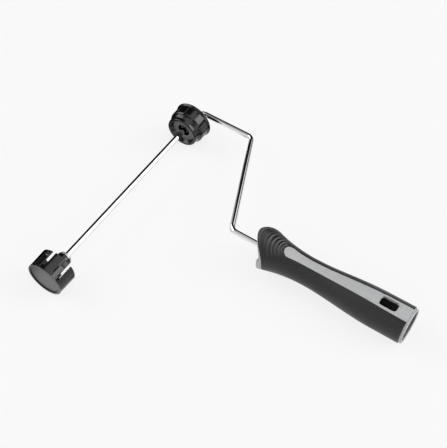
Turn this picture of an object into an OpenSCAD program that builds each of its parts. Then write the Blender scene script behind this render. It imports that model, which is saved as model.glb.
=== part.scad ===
// Paint roller frame: a bent chromed wire with two free-turning sleeve caps
// and a two-shot handle with a pole socket.
//
// The origin is on the roller axis, at the face of the sleeve stop. X runs
// along the axle towards the crank, the handle points along -Y, Z is up.

/* [Axle and crank] */
// Length of the roller sleeve that the caps hold
sleeve_len = 250; // [180:5:260]
// Diameter of the wire
wire_d = 6; // [5:0.5:7]
// Distance from the sleeve stop to the crank arm's centreline
crank_reach = 16.4; // [15:0.2:24]
// Distance from the axle to the end of the crank arm
crank_drop = 67.5; // [55:0.5:80]
// Distance from the axle to the bend at the handle
shank_start = 117.5; // [110:0.5:125]
// Distance from the sleeve stop to the handle's centreline
handle_offset = 99; // [85:1:115]
// Centreline radius of the bends in the wire
bend_r = 8; // [7:0.5:10]

/* [Sleeve caps] */
// Outer diameter of the inner cap's drum, which fills the sleeve
drum_d = 41.4; // [40.8:0.2:42]
// Length of the inner cap's drum
drum_len = 12.6; // [11:0.1:15]
// Diameter of the flange that stops the sleeve
flange_d = 44.3; // [43.6:0.1:48]
// Thickness of that flange
flange_t = 3; // [2.8:0.1:3.6]
// Length of the inner cap's nose past the drum
nose_len = 7.9; // [7.4:0.1:9]
// Outer diameter of the free-end cap's rim
rim_d = 39.6; // [39.2:0.2:40]
// Diameter across the tips of the free-end cap's fingers
finger_tip_d = 40.7; // [40.3:0.1:40.7]
// Length of the free-end cap, from its face to the tips of its fingers
finger_len = 22.4; // [20:0.1:24]
// Length of the free-end cap's hub, from the same face
hub_len = 31.5; // [28:0.5:34]
// Number of fingers on each cap
finger_count = 6; // [4:1:8]

/* [Handle] */
// Distance from the axle to the open end of the handle
handle_end = 316.6; // [310:0.1:325]
// Distance from the axle to the front edge of the grip's sides
grip_front = 164.8; // [164:0.2:167]
// Distance from the axle to the narrowest place of the grip
waist_at = 208; // [204:1:212]
// Diameter of the grip at its narrowest place
waist_d = 29; // [28:0.5:31]
// Diameter of the grip at its open end
grip_end_d = 38.2; // [37.6:0.2:39]
// Radius of the arc along which the grip flares to its thumb rest
flare_r = 163; // [150:1:180]
// Inner diameter of the pole socket
socket_d = 32; // [30:0.5:32]
// Depth of the straight part of the pole socket
socket_depth = 46; // [40:1:48]

/* [Hidden] */

$fn = 72;
eps = 0.01;
wire_r = wire_d / 2;
bend_overlap = 0.3;
bend_swell = 0.03;
running_gap = 0.06;
end_play = 0.25;
bush_wall = 1.9;
bush_r = wire_r + running_gap + bush_wall;
wire_steel = [0.82, 0.83, 0.85];
cap_black = [0.05, 0.05, 0.055];
rubber_black = [0.13, 0.13, 0.135];
core_grey = [0.74, 0.745, 0.75];
nylon_white = [0.86, 0.86, 0.83];

// Free-end cap, measured from its outer face at x = -sleeve_len
rim_r = rim_d / 2;
rim_t = 1.8;
rim_bevel = 0.9;
groove_w = 0.6;
groove_depth = 0.5;
face_recess_r = 17.2;
disc_gap = 1.4;
disc_t = 1.2;
disc_back = disc_gap + disc_t;
web_t = 2.2;
skirt_root_r = 19.6;
skirt_in_r = 18.1;
skirt_tip_r = 20;
tip_bevel = 0.8;
catch_r = finger_tip_d / 2;
catch_len = 6.5;
catch_in_r = 18.8;
catch_root_r = 19.75;
catch_crest = 1.2;
catch_tip = finger_len - 0.15;
catch_angle = 16;
hub_wall = 2.5;
hub_r = bush_r + hub_wall;
hub_bevel = 0.6;
pocket_r = 6.8;
pocket_depth = 8;
wire_end_at = 3.4;
near_slot_root = 2.6;
near_wide_slot_angle = 54;
near_wide_slot_w = 4;
near_thin_slot_angle = 31;
near_thin_slot_w = 1;

// Fasteners on the wire
washer_t = 0.8;
washer_r = 6.9;
retainer_r = 6;
retainer_t = 0.5;
retainer_dish = 0.9;
retainer_flat = 1;
retainer_gap = 0.1;

// Inner cap, measured along X from the sleeve stop
drum_r = drum_d / 2;
flange_r = flange_d / 2;
stop_r = drum_r + 0.5;
flare_end = 2.2;
flange_edge = 0.4;
lead_in_len = 2.1;
lead_in_drop = 0.9;
panel_in_r = 19;
core_fit_r = 15;
core_back = flange_t - 0.4;
web_back = -3;
nose_r = 18.1;
nose_core_r = 18.7;
nose_lip_r = 19.4;
nose_lip_at = -drum_len - 0.15;
nose_cone_end = -drum_len - 4.2;
nose_front = -drum_len - nose_len;
nose_round = 1.6;
nose_dish_mouth_r = 15.6;
nose_dish_r = 13.3;
nose_dish_depth = 4.4;
nose_hole_r = 7.2;
nose_floor = nose_front + 10;
far_slot_root = -0.6;
far_wide_slot_angle = 55.5;
far_wide_slot_w = 2.3;
far_thin_slot_angle = 24.5;
far_thin_slot_w = 1.7;
seam_angle = 4;

// Grip
reach = 30;
grip_back = handle_end - 3;
flare_back = 284;
rubber_t = 2;
rubber_end_t = 1;
rubber_bow = 0.024;
lip_front = grip_front - 2.4;
lip_bow = 0.02;
hood_top_z = 27;
hood_step = 3;
first_station = 144;
station_step = 6;
collar_bevel = 0.6;
strip_front = 178.8;
strip_waist_w = 9.4;
strip_front_w = 12.7;
strip_back_w = 16.4;
strip_waist_at = 205;
strip_back_at = 310;
strip_step = 8;
strip_tip_at = strip_front + strip_front_w / 2;
chin_front = grip_front - 6;
chin_round = 1.4;
chin_top_z = 5.5;
boss_r = 7.5;
boss_taper = 1.5;
boss_len = 4;
tang_end = 226;
tang_wing_places = [192, 212];
tang_wing_w = 10;
tang_wing_t = 2.4;
tang_wing_len = 9;
socket_cone_len = 34;
socket_cone_r = 9;
window_len = 17.8;
window_w = 10.6;
window_back = 300.5;
window_corner_r = 3;

// ---- Frames of reference ------------------------------------------------

// Turns Z onto +X and moves to a place on the axle
module on_axle(x) {
    translate([x, 0, 0])
        rotate([0, 90, 0])
            children();
}

// Turns Z onto -Y, Y onto +Z and moves to the handle's centreline
module on_handle() {
    translate([-handle_offset, 0, 0])
        rotate([90, 0, 0])
            children();
}

// Extrudes an outline of [height, distance] across the handle
module across_handle(width) {
    translate([-width / 2, 0, 0])
        rotate([90, 0, 90])
            linear_extrude(width)
                children();
}

// Extrudes an outline of [side, distance] upwards from the handle's centre
module up_from_handle(height) {
    mirror([0, 1, 0])
        rotate([90, 0, 0])
            linear_extrude(height)
                children();
}

// ---- Wire ---------------------------------------------------------------

wire_path = [
    [-sleeve_len + wire_end_at, 0],
    [crank_reach, 0],
    [crank_reach, -crank_drop],
    [-handle_offset, -shank_start],
    [-handle_offset, -tang_end]
];

function unit(v) = v / norm(v);
function way(i) = unit(wire_path[i + 1] - wire_path[i]);
function turn(i) = acos(way(i - 1) * way(i));
function turn_side(i) = sign(cross(way(i - 1), way(i)));
function is_bend(i) = i > 0 && i < len(wire_path) - 1;
function trim(i) = is_bend(i) ? bend_r * tan(turn(i) / 2) : 0;

// Each straight run reaches a little way into its bends, which are a hair thicker
function run_trim(i) = is_bend(i) ? trim(i) - bend_overlap : 0;

module wire_run(i) {
    start = wire_path[i] + way(i) * run_trim(i);
    finish = wire_path[i + 1] - way(i) * run_trim(i + 1);
    translate([start.x, start.y, 0])
        rotate([0, 0, atan2(way(i).y, way(i).x)])
            rotate([0, 90, 0])
                cylinder(h = norm(finish - start), r = wire_r);
}

module wire_bend(i) {
    side = turn_side(i);
    before = way(i - 1);
    start = wire_path[i] - before * trim(i);
    centre = start + side * bend_r * [-before.y, before.x];
    start_angle = atan2(before.y, before.x) - side * 90;
    low_angle = side > 0 ? start_angle : start_angle - turn(i);
    translate([centre.x, centre.y, 0])
        rotate([0, 0, low_angle])
            rotate_extrude(angle = turn(i))
                translate([bend_r, 0])
                    circle(wire_r + bend_swell);
}

// Flat wings swaged on the tang, which stop it turning in the handle
module tang_wings() {
    for (at = tang_wing_places)
        translate([-handle_offset, -at, 0])
            cube([tang_wing_w, tang_wing_len, tang_wing_t], center = true);
}

module bent_wire() {
    color(wire_steel) {
        for (i = [0 : len(wire_path) - 2])
            wire_run(i);
        for (i = [1 : len(wire_path) - 2])
            wire_bend(i);
        tang_wings();
    }
}

// ---- Fasteners and bearings on the axle ---------------------------------

module washer(outer_r) {
    color(wire_steel)
        rotate_extrude()
            translate([wire_r + running_gap, 0])
                square([outer_r - wire_r - running_gap, washer_t]);
}

// Dished push-on ring that bites on the wire; its open side faces Z
module retainer() {
    color(wire_steel)
        rotate_extrude()
            polygon([
                [wire_r, 0],
                [wire_r + retainer_flat, 0],
                [retainer_r - retainer_flat, retainer_dish],
                [retainer_r, retainer_dish],
                [retainer_r, retainer_dish + retainer_t],
                [retainer_r - retainer_flat, retainer_dish + retainer_t],
                [wire_r + retainer_flat, retainer_t],
                [wire_r, retainer_t]
            ]);
}

module bush(length) {
    color(nylon_white)
        rotate_extrude()
            translate([wire_r + running_gap, 0])
                square([bush_wall, length]);
}

// ---- Free-end cap -------------------------------------------------------

// Evenly spaced radial cuts outwards from a radius, between two heights
module skirt_slots(first_angle, width, in_r, from, to) {
    for (i = [0 : finger_count - 1])
        rotate([0, 0, first_angle + i * 360 / finger_count])
            translate([in_r, -width / 2, from])
                cube([reach - in_r, width, to - from]);
}

// Wedges on the narrow fingers, which catch the sleeve's end
module catches() {
    for (i = [0 : finger_count - 1])
        rotate([0, 0, near_thin_slot_angle + i * 360 / finger_count])
            rotate_extrude(angle = catch_angle)
                polygon([
                    [catch_in_r, finger_len - catch_len],
                    [catch_root_r, finger_len - catch_len],
                    [catch_r, finger_len - catch_crest],
                    [catch_r - tip_bevel, catch_tip],
                    [catch_in_r, catch_tip]
                ]);
}

module near_skirt_and_hub() {
    rotate_extrude()
        polygon([
            [face_recess_r, 0],
            [rim_r - rim_bevel, 0],
            [rim_r, rim_bevel],
            [rim_r, rim_t],
            [rim_r - groove_depth, rim_t],
            [rim_r - groove_depth, rim_t + groove_w],
            [skirt_root_r, rim_t + groove_w],
            [skirt_tip_r, finger_len - tip_bevel],
            [skirt_tip_r - tip_bevel, finger_len],
            [skirt_in_r, finger_len],
            [skirt_in_r, disc_back + web_t],
            [hub_r, disc_back + web_t],
            [hub_r, hub_len - hub_bevel],
            [hub_r - hub_bevel, hub_len],
            [bush_r, hub_len],
            [bush_r, pocket_depth],
            [pocket_r, pocket_depth],
            [pocket_r, disc_back],
            [face_recess_r, disc_back]
        ]);
}

module near_cap() {
    slot_in = skirt_in_r - 1;
    slot_end = finger_len + 1;
    color(cap_black)
        on_axle(-sleeve_len)
            difference() {
                union() {
                    near_skirt_and_hub();
                    catches();
                }
                skirt_slots(near_wide_slot_angle, near_wide_slot_w, slot_in, near_slot_root, slot_end);
                skirt_slots(near_thin_slot_angle, near_thin_slot_w, slot_in, near_slot_root, slot_end);
            }
}

module near_end_disc() {
    color(cap_black)
        on_axle(-sleeve_len + disc_gap)
            cylinder(h = disc_t, r = face_recess_r);
}

module near_bush() {
    on_axle(-sleeve_len + pocket_depth)
        bush(hub_len - pocket_depth);
}

module near_outer_washer() {
    on_axle(-sleeve_len + pocket_depth - end_play - washer_t)
        washer(retainer_r);
}

module near_outer_retainer() {
    on_axle(-sleeve_len + pocket_depth - end_play - washer_t - retainer_gap)
        mirror([0, 0, 1])
            retainer();
}

module near_inner_washer() {
    on_axle(-sleeve_len + hub_len + end_play)
        washer(washer_r);
}

module near_inner_retainer() {
    on_axle(-sleeve_len + hub_len + end_play + washer_t + retainer_gap)
        retainer();
}

// ---- Inner cap ----------------------------------------------------------

// Flange and slotted drum; the seam of their round faces lies on a panel
module far_cap() {
    slot_in = panel_in_r - 1;
    slot_start = -drum_len - 1;
    color(cap_black)
        on_axle(0)
            difference() {
                rotate([0, 0, seam_angle])
                    rotate_extrude()
                        polygon([
                            [core_fit_r, flange_t],
                            [flange_r - flange_edge, flange_t],
                            [flange_r, flange_t - flange_edge],
                            [flange_r, flare_end],
                            [stop_r, 0],
                            [drum_r, 0],
                            [drum_r, -drum_len + lead_in_len],
                            [drum_r - lead_in_drop, -drum_len],
                            [panel_in_r, -drum_len],
                            [panel_in_r, web_back],
                            [core_fit_r, web_back]
                        ]);
                skirt_slots(far_wide_slot_angle, far_wide_slot_w, slot_in, slot_start, far_slot_root);
                skirt_slots(far_thin_slot_angle, far_thin_slot_w, slot_in, slot_start, far_slot_root);
            }
}

// Stepped nose and hub, which fill the drum
module far_nose() {
    color(cap_black)
        on_axle(0)
            rotate_extrude()
                polygon([
                    [bush_r, nose_floor],
                    [nose_hole_r, nose_floor],
                    [nose_hole_r, nose_front + nose_dish_depth],
                    [nose_dish_r, nose_front + nose_dish_depth],
                    [nose_dish_mouth_r, nose_front],
                    for (angle = [0 : 15 : 90])
                        [
                            nose_r - nose_round * (1 - sin(angle)),
                            nose_front + nose_round * (1 - cos(angle))
                        ],
                    [nose_r, nose_cone_end],
                    [nose_lip_r, nose_lip_at],
                    [nose_core_r, nose_lip_at],
                    [nose_core_r, web_back],
                    [core_fit_r, web_back],
                    [core_fit_r, core_back],
                    [bush_r, core_back]
                ]);
}

module far_bush() {
    on_axle(nose_floor)
        bush(core_back - nose_floor);
}

module far_inner_washer() {
    on_axle(nose_floor - end_play - washer_t)
        washer(retainer_r);
}

module far_inner_retainer() {
    on_axle(nose_floor - end_play - washer_t - retainer_gap)
        mirror([0, 0, 1])
            retainer();
}

module far_outer_washer() {
    on_axle(core_back + end_play)
        washer(washer_r);
}

module far_outer_retainer() {
    on_axle(core_back + end_play + washer_t + retainer_gap)
        retainer();
}

// ---- Handle -------------------------------------------------------------

function smooth(t) = t <= 0 ? 0 : t >= 1 ? 1 : t * t * (3 - 2 * t);
function past_waist(at) = smooth((at - waist_at) / (flare_back - waist_at));
function flare(at) =
    at < waist_at ? flare_r - sqrt(flare_r * flare_r - (waist_at - at) * (waist_at - at)) : 0;
function grip_r(at) =
    waist_d / 2 + flare(at) + (grip_end_d - waist_d) / 2 * past_waist(at);
function core_r(at) = grip_r(at) - rubber_t + (rubber_t - rubber_end_t) * past_waist(at);

// Half the width of the hard strip along the top of the grip
function strip_half(at) =
    at < strip_waist_at
        ? (strip_waist_w + (strip_front_w - strip_waist_w)
            * pow((strip_waist_at - at) / (strip_waist_at - strip_tip_at), 2)) / 2
        : (strip_waist_w + (strip_back_w - strip_waist_w)
            * smooth((at - strip_waist_at) / (strip_back_at - strip_waist_at))) / 2;

grip_stations = concat(
    [for (at = [first_station : station_step : grip_back - 2]) at],
    [grip_back]
);

module grip_solid() {
    rotate_extrude()
        polygon(concat(
            [[0, first_station]],
            [for (at = grip_stations) [grip_r(at), at]],
            [[0, grip_back]]
        ));
}

module core_solid() {
    collar_r = core_r(grip_back);
    rotate_extrude()
        polygon(concat(
            [[0, first_station]],
            [for (at = grip_stations) [core_r(at), at]],
            [[collar_r, handle_end - collar_bevel]],
            [[collar_r - collar_bevel, handle_end]],
            [[0, handle_end]]
        ));
}

// Everything behind a front edge that bows forward up the thumb rest
module behind_front(front, bow) {
    top_front = front - bow * hood_top_z * hood_top_z;
    across_handle(2 * reach)
        polygon(concat(
            [[-reach, handle_end + 1], [-reach, front]],
            [for (z = [0 : hood_step : hood_top_z]) [z, front - bow * z * z]],
            [[reach, top_front], [reach, handle_end + 1]]
        ));
}

module strip_outline() {
    stations = [for (at = [strip_tip_at : strip_step : handle_end]) at];
    translate([0, strip_tip_at])
        circle(strip_front_w / 2);
    polygon(concat(
        [for (at = stations) [-strip_half(at), at]],
        [for (i = [len(stations) - 1 : -1 : 0]) [strip_half(stations[i]), stations[i]]]
    ));
}

module strip_solid() {
    intersection() {
        grip_solid();
        up_from_handle(reach)
            strip_outline();
    }
}

// Front of the hard moulding, which stands ahead of the rubber
module lip() {
    difference() {
        intersection() {
            grip_solid();
            behind_front(lip_front, lip_bow);
        }
        behind_front(grip_front, rubber_bow);
    }
}

// Rounded lower part of the lip, which stands further ahead
module chin() {
    chin_r = grip_r(chin_front + chin_round);
    intersection() {
        rotate_extrude()
            polygon(concat(
                [[0, chin_front]],
                [for (angle = [0 : 30 : 90])
                    [chin_r - chin_round * (1 - sin(angle)), chin_front + chin_round * (1 - cos(angle))]],
                [[grip_r(grip_front), grip_front]],
                [[0, grip_front]]
            ));
        translate([-reach, -reach, 0])
            cube([2 * reach, reach + chin_top_z, handle_end]);
    }
}

module boss() {
    translate([0, 0, chin_front - boss_len])
        cylinder(h = boss_len + 1, r1 = boss_r - boss_taper, r2 = boss_r);
}

module window_cut() {
    up_from_handle(reach)
        translate([-window_w / 2, window_back - window_len])
            translate([window_corner_r, window_corner_r])
                offset(window_corner_r)
                    square([window_w - 2 * window_corner_r, window_len - 2 * window_corner_r]);
}

module socket_cut() {
    mouth = handle_end - socket_depth;
    translate([0, 0, mouth])
        cylinder(h = socket_depth + 1, d = socket_d);
    translate([0, 0, mouth - socket_cone_len])
        cylinder(h = socket_cone_len + eps, r1 = socket_cone_r, r2 = socket_d / 2);
}

module handle_core() {
    color(core_grey)
        on_handle()
            difference() {
                union() {
                    intersection() {
                        core_solid();
                        behind_front(lip_front, lip_bow);
                    }
                    lip();
                    strip_solid();
                    chin();
                    boss();
                }
                socket_cut();
                window_cut();
                cylinder(h = tang_end, r = wire_r);
            }
}

module grip_rubber() {
    color(rubber_black)
        on_handle()
            difference() {
                intersection() {
                    grip_solid();
                    behind_front(grip_front, rubber_bow);
                }
                core_solid();
                strip_solid();
            }
}

// ---- Assembly -----------------------------------------------------------

bent_wire();
handle_core();
grip_rubber();
near_cap();
near_end_disc();
near_bush();
near_outer_washer();
near_outer_retainer();
near_inner_washer();
near_inner_retainer();
far_cap();
far_nose();
far_bush();
far_inner_washer();
far_inner_retainer();
far_outer_washer();
far_outer_retainer();
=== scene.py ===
import functools
import math

import bmesh
import bpy
import numpy as np
from mathutils import Matrix, Vector


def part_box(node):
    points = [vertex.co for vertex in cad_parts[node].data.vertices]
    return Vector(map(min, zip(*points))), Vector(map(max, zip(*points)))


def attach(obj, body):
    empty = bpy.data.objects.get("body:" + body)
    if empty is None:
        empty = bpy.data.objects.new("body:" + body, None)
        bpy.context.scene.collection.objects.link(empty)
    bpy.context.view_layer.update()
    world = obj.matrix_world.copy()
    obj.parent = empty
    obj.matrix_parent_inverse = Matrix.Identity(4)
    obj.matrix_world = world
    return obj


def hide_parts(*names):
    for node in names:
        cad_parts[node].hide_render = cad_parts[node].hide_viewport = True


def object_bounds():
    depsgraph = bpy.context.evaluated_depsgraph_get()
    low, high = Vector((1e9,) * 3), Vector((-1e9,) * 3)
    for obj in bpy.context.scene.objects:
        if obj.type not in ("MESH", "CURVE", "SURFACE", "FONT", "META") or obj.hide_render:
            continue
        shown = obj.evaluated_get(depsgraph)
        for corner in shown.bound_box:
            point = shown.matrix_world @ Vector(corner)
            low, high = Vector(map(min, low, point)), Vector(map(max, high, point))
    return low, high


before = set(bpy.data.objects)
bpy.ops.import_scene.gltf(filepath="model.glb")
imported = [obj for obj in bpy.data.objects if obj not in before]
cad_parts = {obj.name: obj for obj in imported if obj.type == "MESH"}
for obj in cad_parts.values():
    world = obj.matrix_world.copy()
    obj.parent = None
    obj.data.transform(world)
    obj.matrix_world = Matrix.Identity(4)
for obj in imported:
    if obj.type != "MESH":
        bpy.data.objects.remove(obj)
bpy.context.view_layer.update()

scene = bpy.context.scene

# Modelling is done in millimetres, in the same frame as the CAD part
MM = 0.001


def box_mm(node):
    """The low and high corner of a CAD node's box."""
    low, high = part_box(node)
    return np.array(low) / MM, np.array(high) / MM


FACE_X = box_mm("near_cap")[0][0]
NOSE_FRONT_X = box_mm("far_nose")[0][0]
FLANGE_BACK_X = box_mm("far_cap")[1][0]
HANDLE_X = (box_mm("grip_rubber")[0][0] + box_mm("grip_rubber")[1][0]) / 2
HANDLE_END = -box_mm("handle_core")[0][1]
GRIP_BACK = -box_mm("grip_rubber")[0][1]
TANG_END = -box_mm("bent_wire")[0][1]
WIRE_START_X = box_mm("bent_wire")[0][0]

# The wire, as the CAD part has it
WIRE_R = 3.0
CRANK_X = 16.4
CRANK_DROP = 67.5
SHANK_START = 117.5
BEND_R = 8.0


# ---- Shapes: each one is a list of points and a list of faces ------------------------------

def around_axle(angle, along, radius):
    """Angle 0 points along -Y and 90 degrees points up."""
    return (along, -radius * math.cos(angle), radius * math.sin(angle))


def around_handle(angle, along, radius):
    """Angle 0 points up; along is the distance from the axle."""
    return (HANDLE_X + radius * math.sin(angle), -along, radius * math.cos(angle))


def smooth(t):
    """Rises softly from 0 to 1 as t does."""
    t = min(1.0, max(0.0, t))
    return t * t * (3 - 2 * t)


def welded(points, faces):
    """The same shape with points that share a place made one, and collapsed faces left out."""
    digits = 4
    kept = []
    index = []
    where = {}
    for point in points:
        key = tuple(round(c, digits) for c in point)
        if key not in where:
            where[key] = len(kept)
            kept.append(point)
        index.append(where[key])
    whole = []
    for face in faces:
        ring = [index[i] for i in face]
        ring = [v for k, v in enumerate(ring) if v != ring[k - 1]]
        if len(set(ring)) > 2:
            whole.append(ring)
    return kept, whole


def joined(*shapes):
    """All the shapes as one."""
    points = []
    faces = []
    for more_points, more_faces in shapes:
        start = len(points)
        points.extend(more_points)
        faces.extend([[i + start for i in face] for face in more_faces])
    return points, faces


def eased(corners, steps=4):
    """A closed outline whose corners (along, radius, reach) are eased over that reach."""
    short_of_half = 0.48
    outline = []
    for i, (along, radius, reach) in enumerate(corners):
        here = np.array((along, radius))
        if reach == 0:
            outline.append(here)
            continue
        sides = [np.array(corners[i - 1][:2]) - here]
        sides.append(np.array(corners[(i + 1) % len(corners)][:2]) - here)
        ends = [here + s * min(reach / np.linalg.norm(s), short_of_half) for s in sides]
        for k in range(steps + 1):
            t = k / steps
            outline.append((1 - t) ** 2 * ends[0] + 2 * t * (1 - t) * here + t * t * ends[1])
    return outline


def lathe(outline, place, steps, notch=None):
    """Turns an outline of (along, radius) into a ring; notch moves a radius at an angle."""
    points = []
    for i in range(steps):
        angle = 2 * math.pi * i / steps
        for along, radius in outline:
            if notch:
                radius = notch(angle, radius)
            points.append(place(angle, along, radius))
    count = len(outline)
    faces = []
    for i in range(steps):
        for k in range(count):
            here = i * count
            there = (i + 1) % steps * count
            after = (k + 1) % count
            faces.append([here + k, here + after, there + after, there + k])
    return welded(points, faces)


def stops(length, radius, count):
    """Places along a block's side: close together over each rounded end, even between."""
    easing = 3
    ends = []
    for k in range(easing + 1):
        angle = math.radians(45 * (1 - k / easing))
        ends.append(radius * (1 - math.tan(angle)))
    middle = [radius + (length - 2 * radius) * k / count for k in range(1, count)]
    return ends + middle + [length - end for end in reversed(ends)]


def rounded_block(size, radius, counts, place):
    """A block with rounded edges; place turns its own three measures into a point."""
    lists = [stops(size[a], radius, counts[a]) for a in range(3)]
    last = [len(one) - 1 for one in lists]
    index = {}
    points = []

    def corner(*key):
        if key not in index:
            outside = [lists[a][key[a]] for a in range(3)]
            core = [min(max(outside[a], radius), size[a] - radius) for a in range(3)]
            out = [outside[a] - core[a] for a in range(3)]
            scale = radius / math.hypot(*out)
            index[key] = len(points)
            points.append(place(*(core[a] + out[a] * scale for a in range(3))))
        return index[key]

    faces = []
    for a in range(3):
        b = (a + 1) % 3
        c = (a + 2) % 3
        for side in (0, last[a]):
            for j in range(last[b]):
                for k in range(last[c]):
                    ring = []
                    for dj, dk in ((0, 0), (1, 0), (1, 1), (0, 1)):
                        key = [0, 0, 0]
                        key[a] = side
                        key[b] = j + dj
                        key[c] = k + dk
                        ring.append(corner(*key))
                    faces.append(ring if side else ring[::-1])
    return points, faces


def stacked(rings):
    """A solid through rings of equally many points, with a flat face at both ends."""
    sides = len(rings[0])
    points = [point for ring in rings for point in ring]
    faces = []
    for i in range(len(rings) - 1):
        here = i * sides
        there = here + sides
        for k in range(sides):
            after = (k + 1) % sides
            faces.append([here + after, here + k, there + k, there + after])
    last = (len(rings) - 1) * sides
    faces.append(list(range(sides)))
    faces.append([last + k for k in reversed(range(sides))])
    return welded(points, faces)


def tube(stations, sides):
    """A closed tube through stations of (point, direction, radius) that lie level."""
    rings = []
    for point, direction, radius in stations:
        across = np.array((-direction[1], direction[0], 0.0))
        ring = []
        for k in range(sides):
            angle = 2 * math.pi * k / sides
            lift = np.array((0.0, 0.0, math.sin(angle)))
            ring.append(tuple(point + radius * (across * math.cos(angle) + lift)))
        rings.append(ring)
    return stacked(rings)


def closed_sheet(outer, inner):
    """A solid between two grids of the same size, walled all round; equal points are welded."""
    rows = len(outer)
    columns = len(outer[0])
    points = [p for row in outer for p in row] + [p for row in inner for p in row]
    below = rows * columns
    faces = []
    for i in range(rows - 1):
        for k in range(columns - 1):
            ring = [i * columns + k, i * columns + k + 1]
            ring += [ring[1] + columns, ring[0] + columns]
            faces.append(ring)
            faces.append([below + v for v in reversed(ring)])
    rim = [(0, k) for k in range(columns)]
    rim += [(i, columns - 1) for i in range(1, rows)]
    rim += [(rows - 1, k) for k in range(columns - 2, -1, -1)]
    rim += [(i, 0) for i in range(rows - 2, 0, -1)]
    for n, (i, k) in enumerate(rim):
        next_i, next_k = rim[(n + 1) % len(rim)]
        here = i * columns + k
        there = next_i * columns + next_k
        faces.append([there, here, here + below, there + below])
    points, faces = welded(points, faces)
    return points, without_twins(faces)


def without_twins(faces):
    """Leaves out pairs of faces on the same points, which are walls inside a closed ring."""
    seen = {}
    for face in faces:
        seen.setdefault(frozenset(face), []).append(face)
    return [group[0] for group in seen.values() if len(group) == 1]


def face_outward(mesh):
    """Turns every face of each closed shell so that its front is outside."""
    shells = bmesh.new()
    shells.from_mesh(mesh)
    bmesh.ops.recalc_face_normals(shells, faces=shells.faces)
    shells.to_mesh(mesh)
    shells.free()


def add_piece(name, shape, material, body, sharp_over=35):
    """Adds one finished mesh, which stands for the CAD node of the same name."""
    points, faces = shape
    mesh = bpy.data.meshes.new(name)
    mesh.from_pydata([tuple(c * MM for c in point) for point in points], [], faces)
    mesh.validate()
    face_outward(mesh)
    mesh.shade_smooth()
    mesh.set_sharp_from_angle(angle=math.radians(sharp_over))
    mesh.materials.append(material)
    piece = bpy.data.objects.new("fine_" + name, mesh)
    scene.collection.objects.link(piece)
    flats = piece.modifiers.new("flat_faces_stay_flat", "WEIGHTED_NORMAL")
    flats.keep_sharp = True
    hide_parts(name)
    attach(piece, body)
    return piece


def paint(piece, material, belongs):
    """Gives the piece a second material on the faces for which belongs is true."""
    piece.data.materials.append(material)
    for face in piece.data.polygons:
        if belongs(face):
            face.material_index = 1


# ---- Materials -----------------------------------------------------------------------------

class Surface:
    """A material with a few helpers for procedural detail."""

    def __init__(self, name, color, roughness, metallic=0.0):
        self.material = bpy.data.materials.new(name)
        self.material.use_nodes = True
        self.tree = self.material.node_tree
        self.shader = self.tree.nodes["Principled BSDF"]
        self.shader.inputs["Base Color"].default_value = (*color, 1)
        self.shader.inputs["Roughness"].default_value = roughness
        self.shader.inputs["Metallic"].default_value = metallic
        self.place = self.tree.nodes.new("ShaderNodeTexCoord").outputs["Object"]
        self.relief = None

    def node(self, kind, values=(), links=()):
        """A new node with some of its inputs set and others linked."""
        made = self.tree.nodes.new(kind)
        for key, value in values:
            made.inputs[key].default_value = value
        for key, socket in links:
            self.tree.links.new(socket, made.inputs[key])
        return made

    def noise(self, size_mm, detail, stretch=(1, 1, 1)):
        """Noise with features of about this size, drawn out along the axes by stretch."""
        scale = tuple(1 / (size_mm * MM * s) for s in stretch)
        spread = self.node("ShaderNodeMapping", [("Scale", scale)], [("Vector", self.place)])
        made = self.node(
            "ShaderNodeTexNoise",
            [("Scale", 1.0), ("Detail", detail)],
            [("Vector", spread.outputs["Vector"])],
        )
        return made.outputs["Fac"]

    def fit(self, socket, from_low, from_high, to_low, to_high):
        """The socket's value moved from one range to another."""
        made = self.node(
            "ShaderNodeMapRange",
            [("From Min", from_low), ("From Max", from_high), ("To Min", to_low), ("To Max", to_high)],
            [("Value", socket)],
        )
        return made.outputs["Result"]

    def times(self, first, second):
        made = self.node("ShaderNodeMath", (), [(0, first), (1, second)])
        made.operation = "MULTIPLY"
        return made.outputs[0]

    def bump(self, socket, depth_mm, strength):
        """Relief on top of what the surface has already."""
        values = [("Strength", strength), ("Distance", depth_mm * MM)]
        links = [("Height", socket)]
        if self.relief:
            links.append(("Normal", self.relief))
        self.relief = self.node("ShaderNodeBump", values, links).outputs["Normal"]
        self.tree.links.new(self.relief, self.shader.inputs["Normal"])

    def roughness(self, socket):
        self.tree.links.new(socket, self.shader.inputs["Roughness"])

    def color(self, socket, low, high):
        """Base colour that goes from low to high with the socket."""
        mix = self.node("ShaderNodeMix")
        mix.data_type = "RGBA"
        colors = [s for s in mix.inputs if s.type == "RGBA"]
        colors[0].default_value = (*low, 1)
        colors[1].default_value = (*high, 1)
        self.tree.links.new(socket, mix.inputs["Factor"])
        result = [s for s in mix.outputs if s.type == "RGBA"][0]
        self.tree.links.new(result, self.shader.inputs["Base Color"])


def chrome():
    """Bright plating over drawn wire: faint lines along it, soft smudges and a few fine scuffs."""
    look = Surface("chrome_plate", (0.84, 0.85, 0.87), 0.06, metallic=1.0)
    smudge = look.noise(14, 3.0)
    look.roughness(look.fit(smudge, 0.35, 0.7, 0.03, 0.1))
    look.color(look.noise(5, 4.0), (0.78, 0.79, 0.81), (0.88, 0.885, 0.9))
    look.bump(look.noise(0.5, 3.0), 0.006, 0.4)
    look.bump(look.noise(3.5, 1.0), 0.012, 0.5)
    return look.material


def zinc_steel():
    """Bright zinc with faint crystals, on the washers and rings in view."""
    look = Surface("bright_zinc", (0.72, 0.73, 0.75), 0.3, metallic=1.0)
    look.roughness(look.fit(look.noise(1.6, 3.0), 0.3, 0.7, 0.2, 0.42))
    look.color(look.noise(0.9, 4.0), (0.58, 0.59, 0.61), (0.8, 0.81, 0.83))
    look.bump(look.noise(0.22, 2.0), 0.012, 0.6)
    return look.material


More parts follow.
